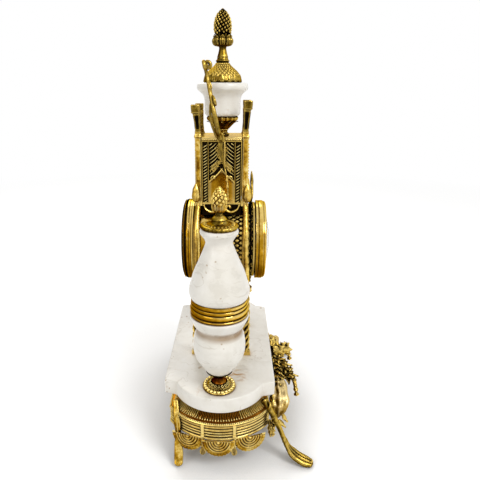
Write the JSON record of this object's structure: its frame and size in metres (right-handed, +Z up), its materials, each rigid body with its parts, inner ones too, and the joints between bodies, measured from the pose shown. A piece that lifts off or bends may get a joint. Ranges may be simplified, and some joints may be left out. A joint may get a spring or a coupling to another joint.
{
  "type": "mantel clock",
  "caption": "Brass and white marble mantel clock: drum case on twisted columns, tower with urn, side urns, bowed slab on a swagged apron and splayed legs.",
  "frame": {"origin": "on the surface the clock stands on, under the centre of its bounding box", "axes": "+X to the right for someone reading the dial, -Y out of the dial, +Z up"},
  "size_m": [0.336, 0.2128, 0.6],
  "materials": {
    "antiqued_brass": "cast brass, darkened in the recesses and rubbed bright on the high points",
    "polished_brass": "polished spun brass with soft wear",
    "movement_brass": "straight-grained movement brass",
    "white_marble": "honed white marble with thin tan pits and faint grey layers",
    "steel": "turned steel",
    "blued_steel": "blued steel hands",
    "enamel": "fired enamel on a copper plate",
    "clear_glass": "clear domed glass"
  },
  "bodies": {
    "case": {"apron": "antiqued_brass", "marble_slab": "white_marble", "leg_front_left": "antiqued_brass", "leg_front_right": "antiqued_brass", "leg_rear_left": "antiqued_brass", "leg_rear_right": "antiqued_brass", "front_mount": "antiqued_brass", "left_urn_foot": "antiqued_brass", "left_urn_bowl": "white_marble", "left_urn_collar": "polished_brass", "left_urn_neck": "white_marble", "left_urn_cap": "antiqued_brass", "left_urn_finial": "antiqued_brass", "left_urn_rod": "steel", "left_urn_nut": "steel", "right_urn_foot": "antiqued_brass", "right_urn_bowl": "white_marble", "right_urn_collar": "polished_brass", "right_urn_neck": "white_marble", "right_urn_cap": "antiqued_brass", "right_urn_finial": "antiqued_brass", "right_urn_rod": "steel", "right_urn_nut": "steel", "column_front_left": "antiqued_brass", "column_front_right": "antiqued_brass", "column_rear_left": "antiqued_brass", "column_rear_right": "antiqued_brass", "tower_side_left": "antiqued_brass", "tower_side_right": "antiqued_brass", "tower_front": "antiqued_brass", "tower_back": "antiqued_brass", "tower_top": "antiqued_brass", "drum_saddle": "antiqued_brass", "top_socket": "antiqued_brass", "top_cup": "white_marble", "top_dome": "antiqued_brass", "top_finial": "antiqued_brass", "top_rod": "steel", "handle_left": "antiqued_brass", "handle_right": "antiqued_brass", "drum": "polished_brass", "dial_surround": "antiqued_brass", "dial": "enamel", "bezel_hinge_pin": "steel", "back_hinge_pin": "steel", "movement_back_plate": "movement_brass", "movement_front_plate": "movement_brass", "bell": "movement_brass"},
    "bezel": {"bezel": "polished_brass", "glass": "clear_glass"},
    "minute": {"minute_hand": "blued_steel", "hand_nut": "movement_brass", "centre_arbor": "steel"},
    "hour": {"hour_hand": "blued_steel"},
    "going_barrel": {"going_barrel": "movement_brass"},
    "going_arbor": {"going_arbor": "steel"},
    "strike_barrel": {"strike_barrel": "movement_brass"},
    "balance_wheel": {"balance_wheel": "movement_brass"},
    "hammer": {"hammer": "steel"},
    "back_cover": {"back_cover": "polished_brass"}
  },
  "joints": [
    {"name": "bezel_hinge", "type": "hinge", "parent": "case", "child": "bezel", "pos_m": [0.0615, -0.02214, 0.288], "axis": [0, 0, 1], "range_deg": [0, 100]},
    {"name": "back_cover_hinge", "type": "hinge", "parent": "case", "child": "back_cover", "pos_m": [0.0627, 0.07136, 0.288], "axis": [0, 0, -1], "range_deg": [0, 100]},
    {"name": "minute_turn", "type": "hinge", "parent": "case", "child": "minute", "pos_m": [0, 0.00886, 0.288], "axis": [0, 1, 0], "continuous": true},
    {"name": "hour_turn", "type": "hinge", "parent": "case", "child": "hour", "pos_m": [0, -0.01114, 0.288], "axis": [0, 1, 0], "continuous": true},
    {"name": "going_barrel_turn", "type": "hinge", "parent": "case", "child": "going_barrel", "pos_m": [0.01715, 0.01686, 0.28176], "axis": [0, 1, 0], "continuous": true},
    {"name": "winding_arbor_turn", "type": "hinge", "parent": "case", "child": "going_arbor", "pos_m": [0.01715, 0.01286, 0.28176], "axis": [0, 1, 0], "continuous": true},
    {"name": "strike_barrel_turn", "type": "hinge", "parent": "case", "child": "strike_barrel", "pos_m": [-0.01715, 0.01686, 0.28176], "axis": [0, 1, 0], "continuous": true},
    {"name": "balance_swing", "type": "hinge", "parent": "case", "child": "balance_wheel", "pos_m": [0, 0.04306, 0.31], "axis": [0, 1, 0], "range_deg": [-135, 135], "stiffness_Nm_per_rad": 0.00003},
    {"name": "hammer_strike", "type": "hinge", "parent": "case", "child": "hammer", "pos_m": [0.038, 0.04686, 0.272], "axis": [0, -1, 0], "range_deg": [0, 15], "stiffness_Nm_per_rad": 0.004, "springref_deg": -20.05}
  ],
  "couplings": [
    {"joint": "hour_turn", "follows": "minute_turn", "ratio": 0.083333},
    {"joint": "going_barrel_turn", "follows": "minute_turn", "ratio": -0.25}
  ]
}
